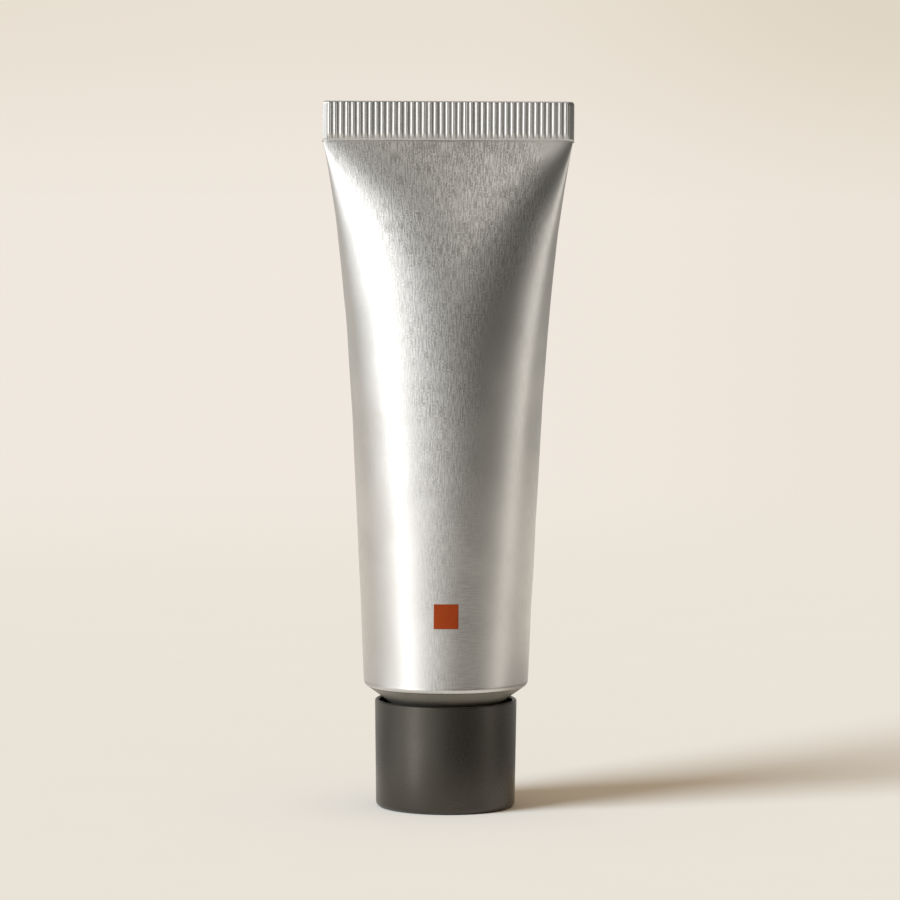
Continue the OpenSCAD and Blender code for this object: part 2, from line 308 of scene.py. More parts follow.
def shape_tree(name, values):
    """A Geometry Nodes tree with an input for each value, these inputs as Fields, and its output."""
    tree = bpy.data.node_groups.new(name, "GeometryNodeTree")
    tree.interface.new_socket(name="Geometry", in_out="INPUT", socket_type="NodeSocketGeometry")
    for label, value in values.items():
        kind = "NodeSocketInt" if isinstance(value, int) else "NodeSocketFloat"
        tree.interface.new_socket(name=label, in_out="INPUT", socket_type=kind)
    tree.interface.new_socket(name="Material", in_out="INPUT", socket_type="NodeSocketMaterial")
    tree.interface.new_socket(name="Geometry", in_out="OUTPUT", socket_type="NodeSocketGeometry")
    source = tree.nodes.new("NodeGroupInput")
    sink = tree.nodes.new("NodeGroupOutput")
    fields = {label: Field(tree, source.outputs[label]) for label in [*values, "Material"]}
    return tree, fields, sink


def finish_shape(tree, sink, mesh, material):
    """Ends a tree in smooth shading, Realize Instances and Set Material."""
    smooth = add(tree, "GeometryNodeSetShadeSmooth", {"Geometry": mesh})
    real = add(tree, "GeometryNodeRealizeInstances", {"Geometry": smooth.outputs[0]})
    coated = add(tree, "GeometryNodeSetMaterial", {"Geometry": real.outputs[0], "Material": material})
    tree.links.new(coated.outputs[0], sink.inputs[0])


def piece_from_tree(name, tree, values, material):
    """Runs a tree with its inputs set, and keeps the result as one plain mesh."""
    maker = bpy.data.objects.new(name + "_maker", bpy.data.meshes.new(name + "_maker"))
    bpy.context.scene.collection.objects.link(maker)
    modifier = maker.modifiers.new("shape", "NODES")
    modifier.node_group = tree
    sockets = {s.name: s.identifier for s in tree.interface.items_tree if s.in_out == "INPUT"}
    for label, value in values.items():
        modifier[sockets[label]] = value
    modifier[sockets["Material"]] = material
    shaped = maker.evaluated_get(bpy.context.evaluated_depsgraph_get())
    mesh = bpy.data.meshes.new_from_object(shaped)
    maker.modifiers.clear()
    bpy.data.objects.remove(maker)
    if not mesh.polygons:
        raise RuntimeError(f"{name} came out empty")
    mesh.name = name
    piece = bpy.data.objects.new(name, mesh)
    bpy.context.scene.collection.objects.link(piece)
    return piece


def random_value(tree, index, seed, low, high):
    """A random value for each whole index."""
    node = add(tree, "FunctionNodeRandomValue", data_type="FLOAT")
    floats = [s for s in node.inputs if s.type == "VALUE"]
    put(tree, floats[0], low)
    put(tree, floats[1], high)
    put(tree, node.inputs["ID"], index)
    put(tree, node.inputs["Seed"], seed)
    return Field(tree, next(s for s in node.outputs if s.type == "VALUE"))


# Form of the sleeve

AROUND = "around"  # attribute with a point's place around the tube or along the seal, in metres
SAME_POINT = 0.5e-6  # points this close are merged


def inputs_of(settings, *names):
    """Some settings of a group, named as inputs of a tree."""
    return {name.replace("_", " ").title(): getattr(settings, name) for name in names}


def sleeve_values(tube):
    """The sleeve's sizes as named inputs, which the sleeve and the square share."""
    sleeve, seal = tube.sleeve, tube.seal
    lip_height = CAP_HIGH.z + sleeve.lip_above_cap
    roll_turn = math.pi / 2 - sleeve.slope
    return {
        "Wall Start": lip_height + sleeve.roll_radius * math.sin(roll_turn),
        "Seal Start": SLEEVE_HIGH.z - seal.height,
        "End Width": SLEEVE_HIGH.x - seal.step,
        "End Depth": seal.thickness / 2 + seal.step,
        **inputs_of(sleeve, "radius", "width_straight", "width_power", "depth_straight", "depth_power"),
    }


def eased_share(rise, straight, power):
    """From 0 to 1, partly straight and partly as a power."""
    return straight * rise + (1.0 - straight) * rise**power


def half_width(f, rise, radius):
    """Half width of the sleeve at a share of the way up to the seal."""
    widened = eased_share(rise, f["Width Straight"], f["Width Power"])
    return radius + (f["End Width"] - f["Radius"]) * widened


def half_depth(f, rise, radius):
    """Half depth of the sleeve at a share of the way up to the seal."""
    flattened = eased_share(rise, f["Depth Straight"], f["Depth Power"])
    return radius - (f["Radius"] - f["End Depth"]) * flattened


def grid(tree, columns, rows):
    """A flat grid of faces, with its column and row numbers as Fields."""
    node = add(
        tree,
        "GeometryNodeMeshGrid",
        {"Size X": 1.0, "Size Y": 1.0, "Vertices X": columns + 1, "Vertices Y": rows + 1},
    )
    x, y, _ = split(tree, tree.nodes.new("GeometryNodeInputPosition").outputs[0])
    return node.outputs["Mesh"], ((x + 0.5) * columns).math("ROUND"), ((y + 0.5) * rows).math("ROUND")


def switched(tree, index, values):
    """The value whose place is index. The last one holds for every higher index."""
    last = len(values) - 1
    node = tree.nodes.new("GeometryNodeIndexSwitch")
    node.data_type = "FLOAT"
    while len(node.index_switch_items) < len(values):
        node.index_switch_items.new()
    put(tree, node.inputs["Index"], index.math("MINIMUM", float(last)))
    for place, value in enumerate(values):
        put(tree, node.inputs[place + 1], value)
    return Field(tree, node.outputs[0])


def placed(tree, mesh, x, y, z):
    """A mesh with its points moved to the given places."""
    return add(
        tree, "GeometryNodeSetPosition", {"Geometry": mesh, "Position": joined(tree, x, y, z)}
    ).outputs[0]


def girthed(tree, mesh, around):
    """A mesh that keeps its points' place around the tube, which the grain of its foil follows."""
    stored = {"Geometry": mesh, "Name": AROUND, "Value": around}
    return add(tree, "GeometryNodeStoreNamedAttribute", stored, data_type="FLOAT").outputs[0]


def merged(tree, meshes):
    """Several meshes in one, with doubled points merged."""
    together = tree.nodes.new("GeometryNodeJoinGeometry")
    for mesh in meshes:
        tree.links.new(mesh, together.inputs[0])
    return add(
        tree, "GeometryNodeMergeByDistance", {"Geometry": together.outputs[0], "Distance": SAME_POINT}
    ).outputs[0]


ROLL_ROWS = 12  # rows round the rolled edge
TOP_ROWS = 3  # rows that close the body over the seal's root
TOP_DEPTHS = (1.0, 0.93, 0.6, 0.0)  # share of the body's depth from its last ring through these rows
TOP_TUCKS = (0.0, 0.042 * MM, 0.06 * MM, 0.36 * MM)  # how far they lie above that ring
TOP_INSETS = (0.0, 0.0, 0.3 * MM, 0.5 * MM)  # how far they draw in from its ends
RING_CROWDING = 1.3  # above 1 the rings lie closer together near the seal
BOW_POWER = 8.0  # the higher, the sooner the bow fades below the seal
GIRTH_MM = 17.5  # radius on which the dents and the grain are laid out, in millimetres
DENT_LEVEL = 0.55  # noise below this level dents the body
DENT_GAIN = 8.0  # strength of a dent for each unit of noise below it


def sleeve_body(tree, f, foot):
    """The filled body: up from the cream in the neck, round the rolled edge and up to the seal."""
    first = float(len(foot))
    sides, rings = f["Sides"], f["Rings"]
    flat, column, row = grid(tree, sides, rings + (first + ROLL_ROWS + TOP_ROWS))
    turn_left = 1.0 - ((row - first) / ROLL_ROWS).clamped()
    angle = f["Roll Turn"] * turn_left
    roll_r = f["Radius"] - f["Roll Radius"] * (1.0 - angle.math("COSINE"))
    roll_z = f["Wall Start"] - f["Roll Radius"] * angle.math("SINE")
    climb = ((row - (first + ROLL_ROWS)) / rings).clamped()
    rise = 1.0 - (1.0 - climb) ** RING_CROWDING
    top = (row - (rings + first + ROLL_ROWS)).math("MAXIMUM", 0.0)
    wall_z = roll_z + rise * (f["Seal Start"] - f["Wall Start"])

    theta = column / sides * math.tau
    across, back = theta.math("COSINE"), theta.math("SINE")
    radius = switched(tree, row, [r for r, _ in foot] + [roll_r])
    height = switched(tree, row, [z for _, z in foot] + [wall_z])
    width = half_width(f, rise, radius)
    depth = half_depth(f, rise, radius) * switched(tree, top, TOP_DEPTHS)
    tuck = switched(tree, top, TOP_TUCKS)
    bow = f["Bow"] * (1.0 - across * across) * rise**BOW_POWER
    inset = switched(tree, top, TOP_INSETS)

    place = joined(tree, across * GIRTH_MM, back * GIRTH_MM, height * (1.0 / MM))
    noise = add(
        tree,
        "ShaderNodeTexNoise",
        {"Vector": place, "W": f["Seed"], "Scale": f["Dent Scale"], "Detail": 1.0},
        noise_dimensions="4D",
    )
    soft = climb.eased(0.0, 0.15) * (1.0 - climb.eased(0.9, 1.0))
    hollow = (Field(tree, noise.outputs[0]) - DENT_LEVEL).math("MINIMUM", 0.0)
    dent = hollow * f["Dents"] * soft * DENT_GAIN
    x = across * (width - inset + dent)
    y = back * (depth + dent)
    around = (theta / math.pi - 1.0).math("ABSOLUTE") * (math.pi * GIRTH_MM * MM)
    return placed(tree, girthed(tree, flat, around), x, y, height + tuck - bow)


ROW_CROWDING = 1.6  # above 1 the rows lie closer together near the top edge
END_SHARE = 0.18  # share of the seal's thickness that is left at its ends
ROOT_CLOSED = 0.2  # share of the root over which it closes at its lower end
FLANK = 0.68  # share of a rib's half width that its flank takes up
GROOVE = 0.16  # half width of the groove in a doubled rib, as a share of the rib's width
RIB_START = (-0.05 * MM, 0.22 * MM)  # heights above the plain strip between which the ribs rise
RIB_END = (0.0, 0.35 * MM)  # depths below the top edge between which they fall off
RIB_STRENGTHS = (0.72, 1.0)  # range of the ribs' heights, as a share
RIB_NOTCHES = (-0.5, 0.3)  # range of their grooves' depths, as a share. Below 0 there is none


def seal_slab(tree, f):
    """The pressed seal: front and back faces that meet in a rounded edge, with a row of ribs on each."""
    flat, column, row = grid(tree, f["Columns"], f["Rows"])
    up = row / f["Rows"]
    reach = f["Seal Height"] + f["Root"]
    z = f["Seal Start"] - f["Root"] + reach * (1.0 - (1.0 - up) ** ROW_CROWDING)
    below_top = f["Top"] - z
    corner = ((f["Corner"] - below_top) / f["Corner"]).clamped()
    width = f["Half Width"] - f["Corner"] * (1.0 - (1.0 - corner * corner).math("SQRT"))
    x = (column / f["Columns"] * 2.0 - 1.0) * width

    inward = width - x.math("ABSOLUTE")
    side = (inward / f["Edge"]).clamped()
    margin = END_SHARE + (1.0 - END_SHARE) * (inward / f["Margin"]).clamped()
    top = (below_top / f["Edge"]).clamped()
    foot = ((z - f["Seal Start"] + f["Root"]) / (f["Root"] * ROOT_CLOSED)).clamped()
    rounding = [(1.0 - (1.0 - e) * (1.0 - e)).math("MAXIMUM", 0.0).math("SQRT") for e in (side, top)]
    plate = f["Thickness"] * 0.5 * margin * rounding[0] * rounding[1] * foot

    ribs = ((f["Half Width"] - f["Rib Margin"]) * 2.0 - f["Rib Width"]) / f["Rib Pitch"]
    last = ribs.math("FLOOR")
    from_first = x / f["Rib Pitch"] + last * 0.5
    number = from_first.math("ROUND").math("MAXIMUM", 0.0).math("MINIMUM", last)
    seed = f["Rib Seed"]
    wander = random_value(tree, number, seed, -1.0, 1.0) * f["Rib Wander"]
    lean = random_value(tree, number, seed + 1.0, -1.0, 1.0) * f["Rib Wander"] * (up - 0.5)
    offset = (from_first - number) * f["Rib Pitch"] - wander - lean
    near = (1.0 - (offset / (f["Rib Width"] * 0.5)).math("ABSOLUTE")).clamped()
    crest = near.eased(0.0, FLANK)
    strength = random_value(tree, number, seed + 2.0, *RIB_STRENGTHS)
    notch = random_value(tree, number, seed + 3.0, *RIB_NOTCHES).math("MAXIMUM", 0.0)
    doubled = 1.0 - notch * (1.0 - (offset / (f["Rib Width"] * GROOVE)).math("ABSOLUTE")).clamped()
    start = (z - f["Seal Start"] - f["Strip"]).eased(*RIB_START)
    end = below_top.eased(*RIB_END)
    rib = f["Rib Depth"] * crest * strength * doubled * start * end * side

    half = plate + rib
    marked = girthed(tree, flat, x)
    front = placed(tree, marked, x, -half, z)
    back = placed(tree, marked, x, half, z)
    turned = add(tree, "GeometryNodeFlipFaces", {"Mesh": back}).outputs[0]
    return [front, turned]


def cream_profile(tube):
    """The hidden underside, from the cream in the neck out to the cut edge, as (radius, height)."""
    sleeve = tube.sleeve
    lip_height = CAP_HIGH.z + sleeve.lip_above_cap
    lip_radius = sleeve.radius - sleeve.roll_radius * (1.0 - math.sin(sleeve.slope))
    sine, cosine = math.sin(sleeve.slope), math.cos(sleeve.slope)

    def at(depth, out):
        return lip_radius - depth * sine + out * cosine, lip_height + depth * cosine + out * sine

    cone = lip_height - (lip_radius - sleeve.nose_radius) * sine / cosine + sleeve.seat / cosine
    return [
        (0.0, sleeve.nose_height),
        (sleeve.nose_radius, sleeve.nose_height),
        (sleeve.nose_radius, cone),
        at(sleeve.seat, sleeve.lap),
        at(sleeve.wall, sleeve.lap),
        at(sleeve.wall, 0.0),
    ]


def sleeve_tree(tube):
    """The tree of the filled sleeve, and the values of its inputs."""
    sleeve, seal = tube.sleeve, tube.seal
    values = sleeve_values(tube) | {
        "Roll Turn": math.pi / 2 - sleeve.slope,
        "Dents": sleeve.dent,
        "Dent Scale": MM / sleeve.dent_size,
        "Seed": float(sleeve.seed),
        "Top": SLEEVE_HIGH.z,
        "Seal Height": seal.height,
        "Half Width": SLEEVE_HIGH.x,
        "Rib Seed": float(seal.seed),
        **inputs_of(sleeve, "roll_radius", "bow", "sides", "rings"),
        **inputs_of(seal, "thickness", "root", "strip", "corner", "edge", "margin", "columns", "rows"),
        **inputs_of(seal, "rib_pitch", "rib_depth", "rib_width", "rib_margin", "rib_wander"),
    }
    tree, f, sink = shape_tree("filled sleeve", values)
    body = sleeve_body(tree, f, cream_profile(tube))
    finish_shape(tree, sink, merged(tree, [body, *seal_slab(tree, f)]), f["Material"])
    return tree, values


def square_tree(tube):
    """The tree of the printed square, which lies on the front of the sleeve."""
    square = tube.square
    values = sleeve_values(tube) | inputs_of(square, "side", "middle", "gap", "ink", "cells")
    tree, f, sink = shape_tree("printed square", values)
    flat, column, row = grid(tree, f["Cells"], f["Cells"])
    x = (column / f["Cells"] - 0.5) * f["Side"]
    z = f["Middle"] + (row / f["Cells"] - 0.5) * f["Side"]
    rise = (z - f["Wall Start"]) / (f["Seal Start"] - f["Wall Start"])
    bend = x / half_width(f, rise, f["Radius"])
    front = half_depth(f, rise, f["Radius"]) * (1.0 - bend * bend).math("SQRT") + f["Gap"]
    sheet = placed(tree, flat, x, -front, z)
    under = add(tree, "GeometryNodeFlipFaces", {"Mesh": sheet}).outputs[0]
    outwards = joined(tree, 0.0, -1.0, 0.0)
    lift = {"Mesh": sheet, "Offset": outwards, "Offset Scale": f["Ink"], "Individual": False}
    over = add(tree, "GeometryNodeExtrudeMesh", lift, mode="FACES")
    finish_shape(tree, sink, merged(tree, [under, over.outputs["Mesh"]]), f["Material"])
    return tree, values


# Finishes

GLOSS_SPREAD = 0.06  # how far the fine marks move a finish's roughness


def mask_group(name, inputs, outputs):
    """A shader node group with named inputs and outputs, its inputs as Fields, and its output node."""
    tree = bpy.data.node_groups.new(name, "ShaderNodeTree")
    for label, value in inputs.items():
        kind = "NodeSocketVector" if value is None else "NodeSocketFloat"
        socket = tree.interface.new_socket(name=label, in_out="INPUT", socket_type=kind)
        if value is not None:
            socket.default_value = value
    for label, kind in outputs.items():
        tree.interface.new_socket(name=label, in_out="OUTPUT", socket_type=kind)
    source, sink = tree.nodes.new("NodeGroupInput"), tree.nodes.new("NodeGroupOutput")
    return tree, {label: Field(tree, source.outputs[label]) for label in inputs}, sink


def stretched_noise(tree, vector, size, stretch, detail=2.0):
    """Noise with cells of the given size, drawn out along X, Y and Z by stretch."""
    scaled = add(
        tree, "ShaderNodeVectorMath", {0: vector, 1: [1.0 / s for s in stretch]}, operation="MULTIPLY"
    ).outputs[0]
    noise = add(tree, "ShaderNodeTexNoise", {"Vector": scaled, "Detail": detail, "Roughness": 0.6})
    put(tree, noise.inputs["Scale"], 1.0 / size)
    return Field(tree, noise.outputs[0])


def grain_group():
    """Fine marks of a rolled or moulded face, about 0 to 1: specks and streaks upright, hairs flat."""
    sizes = {"Speck Size": 0.2, "Streak Size": 0.2, "Hair Size": 0.3, "Cluster Size": 2.2}
    tree, f, sink = mask_group(
        "fine grain",
        {"Vector": None, **{label: size * MM for label, size in sizes.items()}},
        {label: "NodeSocketFloat" for label in ("Specks", "Streaks", "Hairs")},
    )
    specks = stretched_noise(tree, f["Vector"], f["Speck Size"], (1.0, 1.0, 2.2), 1.5)
    fine = stretched_noise(tree, f["Vector"], f["Speck Size"] * 0.6, (1.0, 1.0, 2.0), 1.0)
    streaks = stretched_noise(tree, f["Vector"], f["Streak Size"], (1.0, 1.0, 12.0))
    hairs = stretched_noise(tree, f["Vector"], f["Hair Size"], (9.0, 9.0, 1.0), 1.5)
    clusters = stretched_noise(tree, f["Vector"], f["Cluster Size"], (1.0, 1.0, 2.0)).eased(0.35, 0.62)
    spread = specks.eased(0.3, 0.62) * 0.65 + fine.eased(0.36, 0.6) * 0.35
    put(tree, sink.inputs["Specks"], (0.5 + (spread - 0.5) * (0.35 + clusters * 0.9)).clamped())
    put(tree, sink.inputs["Streaks"], streaks.eased(0.35, 0.65))
    put(tree, sink.inputs["Hairs"], hairs.eased(0.4, 0.62))
    return tree


def smudge_group():
    """Soft broad patches where a surface was handled, about 0 to 1."""
    inputs = {"Vector": None, "Size": 12 * MM}
    tree, f, sink = mask_group("soft smudges", inputs, {"Smudge": "NodeSocketFloat"})
    noise = add(tree, "ShaderNodeTexNoise", {"Vector": f["Vector"], "Detail": 3.0})
    put(tree, noise.inputs["Scale"], 1.0 / f["Size"])
    put(tree, sink.inputs["Smudge"], Field(tree, noise.outputs[0]).eased(0.35, 0.65))
    return tree


def grouped(tree, make, name, inputs):
    """A placed node group with its own values. The group is built once and then used again."""
    node = tree.nodes.new("ShaderNodeGroup")
    node.node_tree = bpy.data.node_groups.get(name) or make()
    for label, value in inputs.items():
        put(tree, node.inputs[label], value)
    return node


def blended(tree, share_of_second, first, second):
    """A colour between two."""
    node = tree.nodes.new("ShaderNodeMix")
    node.data_type = "RGBA"
    put(tree, node.inputs["Factor"], share_of_second)
    for place, value in (("A", first), ("B", second)):
        socket = next(s for s in node.inputs if s.name == place and s.type == "RGBA")
        put(tree, socket, value if isinstance(value, (Field, bpy.types.NodeSocket)) else (*value, 1.0))
    return next(s for s in node.outputs if s.type == "RGBA")


def new_finish(name, **plain):
    """A material with its Principled node, and that node's uniform values."""
    material = bpy.data.materials.new(name)
    material.use_nodes = True
    shader = material.node_tree.nodes["Principled BSDF"]
    for label, value in plain.items():
        shader.inputs[label.replace("_", " ")].default_value = value
    return material, material.node_tree, shader


def bumped(tree, shader, height, distance):
    """Feeds a height to the surface's normal."""
    bump = add(tree, "ShaderNodeBump", {"Height": height, "Distance": distance, "Strength": 1.0})
    tree.links.new(bump.outputs[0], shader.inputs["Normal"])


def foil_finish(finish, seal_start):
    """The silver face of the laminate, with its fine marks upright and, low on the right, across."""
    material, tree, shader = new_finish("laminate foil", Metallic=1.0)
    coordinates = tree.nodes.new("ShaderNodeTexCoord")
    here = coordinates.outputs["Object"]
    x, _, z = split(tree, here)
    around = tree.nodes.new("ShaderNodeAttribute")
    around.attribute_name = AROUND
    girth = joined(tree, around.outputs["Fac"], 0.0, z)
    grain = grouped(tree, grain_group, "fine grain", {"Vector": girth})
    smudge = grouped(tree, smudge_group, "soft smudges", {"Vector": here, "Size": 13 * MM})
    specks, streaks, hairs = (Field(tree, grain.outputs[n]) for n in ("Specks", "Streaks", "Hairs"))
    patches = Field(tree, smudge.outputs[0])

    # The marks fade where the key's highlight falls on the left flank and in the dark band right of a
    # line that lies further out near the seal: painted light, which leaves those bands as clean foil.
    facing = split(tree, coordinates.outputs["Normal"])[0]
    faint_from = 5 * MM + z.eased(98 * MM, 126 * MM) * (13 * MM)
    right = (x - faint_from).eased(-2 * MM, 5 * MM)
    marks_outside_light_bands = 0.12 + 0.88 * facing.eased(-0.42, -0.02) * (1.0 - right)

    # Upright marks grow stronger towards the seal. Low on the right they give way to hairlines.
    low = 1.0 - z.eased(45 * MM, 90 * MM)
    across = low * x.eased(-3 * MM, 5 * MM) * (1.0 - x.eased(9 * MM, 13 * MM))
    ribbed = z.eased(seal_start - MM, seal_start)
    strength = (0.4 + 0.7 * z.eased(30 * MM, 125 * MM)) * (0.8 + 0.4 * patches)
    upright = (1.0 - across * 0.8) * (1.0 - ribbed * 0.7) * strength
    marks = ((specks - 0.5) * 1.1 + (streaks - 0.5) * 0.9) * upright + (hairs - 0.5) * across * 0.25
    dull = (0.38 + ribbed * 0.14 + marks * marks_outside_light_bands + (patches - 0.5) * 0.08).clamped()
    height = ((specks + streaks) * upright + hairs * across * 0.5) * marks_outside_light_bands

    tree.links.new(blended(tree, dull, finish.foil, finish.foil_dull), shader.inputs["Base Color"])
    put(tree, shader.inputs["Roughness"], finish.foil_roughness + (streaks - 0.5) * GLOSS_SPREAD)
    bumped(tree, shader, height, finish.foil_relief)
    return material


def plastic_finish(name, plain, worn, roughness, shine, relief, size, sheen=(1.0, 1.0, 1.0)):
    """A moulded plastic: fine grain, and patches a little lighter and smoother from handling."""
    material, tree, shader = new_finish(name, Specular_IOR_Level=shine, Specular_Tint=(*sheen, 1.0))
    here = tree.nodes.new("ShaderNodeTexCoord").outputs["Object"]
    grain = grouped(tree, grain_group, "fine grain", {"Vector": here, "Speck Size": 0.35 * MM})
    smudge = grouped(tree, smudge_group, "soft smudges", {"Vector": here, "Size": size})
    specks, patches = Field(tree, grain.outputs["Specks"]), Field(tree, smudge.outputs[0])
    tree.links.new(blended(tree, specks * 0.4 + patches * 0.6, plain, worn), shader.inputs["Base Color"])
    put(tree, shader.inputs["Roughness"], roughness + (specks - patches) * GLOSS_SPREAD)
    bumped(tree, shader, specks, relief)
    return material


# Stage

# The room that shiny surfaces see. Angles are in degrees: azimuth from the camera's side to the
# right, and elevation above the horizon. Two angles are those between which a form begins or ends.
ROOM_TINT = (1.0, 0.955, 0.885)
ROOM_LEVEL = 0.07  # brightness of its plain walls
LEAN_TOP = 32.0  # elevation up to which the panel, its core and the strip lean
PANEL_LEFT = (-118.0, -72.0)
PANEL_TOP = (30.0, 46.0)
PANEL_LEVEL = 1.1
CORE_WIDTH = 10.5
CORE_LEVEL = 1.6
STRIP_MIDDLE = 82.0
STRIP_WIDTH = 14.0
STRIP_TOP = (7.0, 18.0)
STRIP_LEVEL = 1.05
CEILING = (8.0, 36.0)
FLOOR_ELEVATION = 14.0  # elevation of the wall that the floor shows near the tube


def surroundings_group():
    """The room in a direction: a tall lit panel on the left, a strip on the right, and a ceiling."""
    inputs = {"Vector": None, "Elevation": 0.0}
    tree, f, sink = mask_group("surroundings", inputs, {"Color": "NodeSocketColor"})
    x, y, _ = split(tree, f["Vector"])
    azimuth = calculate(tree, "ARCTAN2", x, -y) * DEGREES
    height = f["Elevation"]
    lift = height.math("MAXIMUM", 0.0).math("MINIMUM", LEAN_TOP)
    right_edge = 31.0 - lift * 1.4 - (lift - 18.0).math("MAXIMUM", 0.0) * 0.8
    panel = azimuth.eased(*PANEL_LEFT) * (1.0 - azimuth.eased(lift * 0.4 - 46.0, right_edge))
    core = azimuth.bell(lift * 0.5 - 55.0, CORE_WIDTH)
    white = (panel * PANEL_LEVEL + core * CORE_LEVEL) * (1.0 - height.eased(*PANEL_TOP))

    strip = azimuth.bell(STRIP_MIDDLE - lift * 1.1, STRIP_WIDTH) * (1.0 - height.eased(*STRIP_TOP))
    behind_left = (-azimuth).eased(85.0, 125.0) * 0.5
    behind_right = azimuth.eased(92.0, 112.0) * 0.16 + azimuth.eased(130.0, 175.0) * 0.2
    room = strip * STRIP_LEVEL + behind_left + behind_right + ROOM_LEVEL
    above = (0.45 + x * 4.2).math("MAXIMUM", 0.18) * (1.0 - x.eased(0.17, 0.33) * 0.92)
    over = (height - azimuth.bell(41.0, 16.0) * 26.0).eased(*CEILING)
    level = room + (above - room) * over

    warm = add(tree, "ShaderNodeVectorMath", {0: ROOM_TINT, "Scale": level}, operation="SCALE")
    terms = {0: warm.outputs[0], 1: joined(tree, white, white, white)}
    together = add(tree, "ShaderNodeVectorMath", terms, operation="ADD")
    tree.links.new(together.outputs[0], sink.inputs[0])
    return tree


def backdrop_group():
    """How dim the backdrop is in a direction, 0 to 1: most at the top and a little on the right."""
    inputs = {"Across": 0.0, "Up": 0.0}
    tree, f, sink = mask_group("backdrop shade", inputs, {"Shade": "NodeSocketFloat"})
    top = f["Up"].eased(-0.03, 0.025)
    right = f["Across"].eased(0.0, 0.1)
    left = (-f["Across"]).eased(0.03, 0.11)
    shade = top * (0.45 + right * 0.4) + right * 0.25 + left * top * 0.1
    put(tree, sink.inputs["Shade"], shade.clamped())
    return tree


def backdrop_seen(tree, stage, across, up):
    """The backdrop's colour towards a direction, as the camera sees it."""
    shade = grouped(tree, backdrop_group, "backdrop shade", {"Across": across, "Up": up})
    return blended(tree, shade.outputs[0], stage.backdrop, stage.backdrop_edge)


def room_seen(tree, direction, elevation):
    """The room's colour towards a direction, as a shiny surface sees it."""
    place = {"Vector": direction, "Elevation": elevation}
    return grouped(tree, surroundings_group, "surroundings", place).outputs[0]


BACKDROP_UP = -0.05  # height at which the floor shows the backdrop
LIT_NEAR = (0.04, 0.075)  # distances between which the lit floor round the tube ends
LIT_RING_IN = (0.17, 0.25)  # distances between which its lit ring begins
LIT_RING_OUT = (0.6, 1.0)  # distances between which that ring ends


def floor_finish(stage):
    """The floor: matt near the tube and like the backdrop further off.

    Shiny surfaces see it lit near the tube and in a wide ring, and see the room elsewhere.
    """
    material, tree, shader = new_finish("pale floor", Roughness=0.9, Specular_IOR_Level=0.0)
    here = tree.nodes.new("ShaderNodeTexCoord").outputs["Object"]
    x, y, _ = split(tree, here)
    distance = (x * x + y * y).math("SQRT")
    mottle = stretched_noise(tree, here, 30 * MM, (1.0, 1.0, 1.0))
    tree.links.new(blended(tree, mottle, stage.floor_mottle, stage.floor), shader.inputs["Base Color"])

    path = tree.nodes.new("ShaderNodeLightPath")
    glossy = Field(tree, path.outputs["Is Glossy Ray"])
    camera = Field(tree, path.outputs["Is Camera Ray"])
    across = x / (y + stage.camera_distance).math("MAXIMUM", 0.1)
    backdrop = backdrop_seen(tree, stage, across, BACKDROP_UP)
    room = room_seen(tree, here, (1.0 - distance.eased(0.1, 0.25)) * FLOOR_ELEVATION)
    seen = blended(tree, glossy, backdrop, room)
    glow = add(tree, "ShaderNodeEmission", {"Color": seen, "Strength": 1.0})

    far = distance.eased(stage.fade_start, stage.fade_end)
    ring = distance.eased(*LIT_RING_IN) * (1.0 - distance.eased(*LIT_RING_OUT))
    lit = (1.0 - distance.eased(*LIT_NEAR)).math("MAXIMUM", ring)
    amount = camera * far + glossy * (1.0 - lit)
    mix = add(tree, "ShaderNodeMixShader", {0: amount, 1: shader.outputs[0], 2: glow.outputs[0]})
    tree.links.new(mix.outputs[0], tree.nodes["Material Output"].inputs["Surface"])
    return material


def room_world(stage):
    """The world: the backdrop to the camera, the room to shiny surfaces, plain light to matt ones."""
    world = bpy.data.worlds.new("room")
    world.use_nodes = True
    world.cycles.sampling_method = "NONE"
    tree = world.node_tree
    direction = tree.nodes.new("ShaderNodeTexCoord").outputs["Generated"]
    x, _, z = split(tree, direction)
    room = room_seen(tree, direction, z.math("ARCSINE") * DEGREES)
    path = tree.nodes.new("ShaderNodeLightPath")
    lit = blended(tree, path.outputs["Is Glossy Ray"], stage.ambient, room)
    seen = blended(tree, path.outputs["Is Camera Ray"], lit, backdrop_seen(tree, stage, x, z))
    put(tree, tree.nodes["Background"].inputs["Color"], seen)
    bpy.context.scene.world = world


def ready(context):
    """The tube's settings, or an error if the frame is missing."""
    if not frame["nodes"]:
        raise RuntimeError("the frame of the CAD model is empty")
    return context.scene.cream_tube


class CREAMTUBE_OT_sleeve(bpy.types.Operator):
    """Make the filled sleeve with its ribbed seal"""

    bl_idname = "cream_tube.sleeve"
    bl_label = "Filled Sleeve"

    def execute(self, context):
        tube = ready(context)
        tree, values = sleeve_tree(tube)
        foil = foil_finish(tube.finish, SLEEVE_HIGH.z - tube.seal.height)
        sleeve = piece_from_tree("filled_sleeve", tree, values, foil)
        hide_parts("tube_sleeve")
        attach(sleeve, "tube")
        return {"FINISHED"}


class CREAMTUBE_OT_square(bpy.types.Operator):
    """Make the printed square on the sleeve's front"""

    bl_idname = "cream_tube.square"
    bl_label = "Printed Square"

    def execute(self, context):
        tube = ready(context)
        tree, values = square_tree(tube)
        colours = (tube.finish.ink, tube.finish.ink_dense)
        ink = plastic_finish(
            "square ink", *colours, roughness=0.5, shine=0.2, relief=0.004 * MM, size=4 * MM
        )
        square = piece_from_tree("orange_square", tree, values, ink)
        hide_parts("printed_square")
        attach(square, "tube")
        return {"FINISHED"}


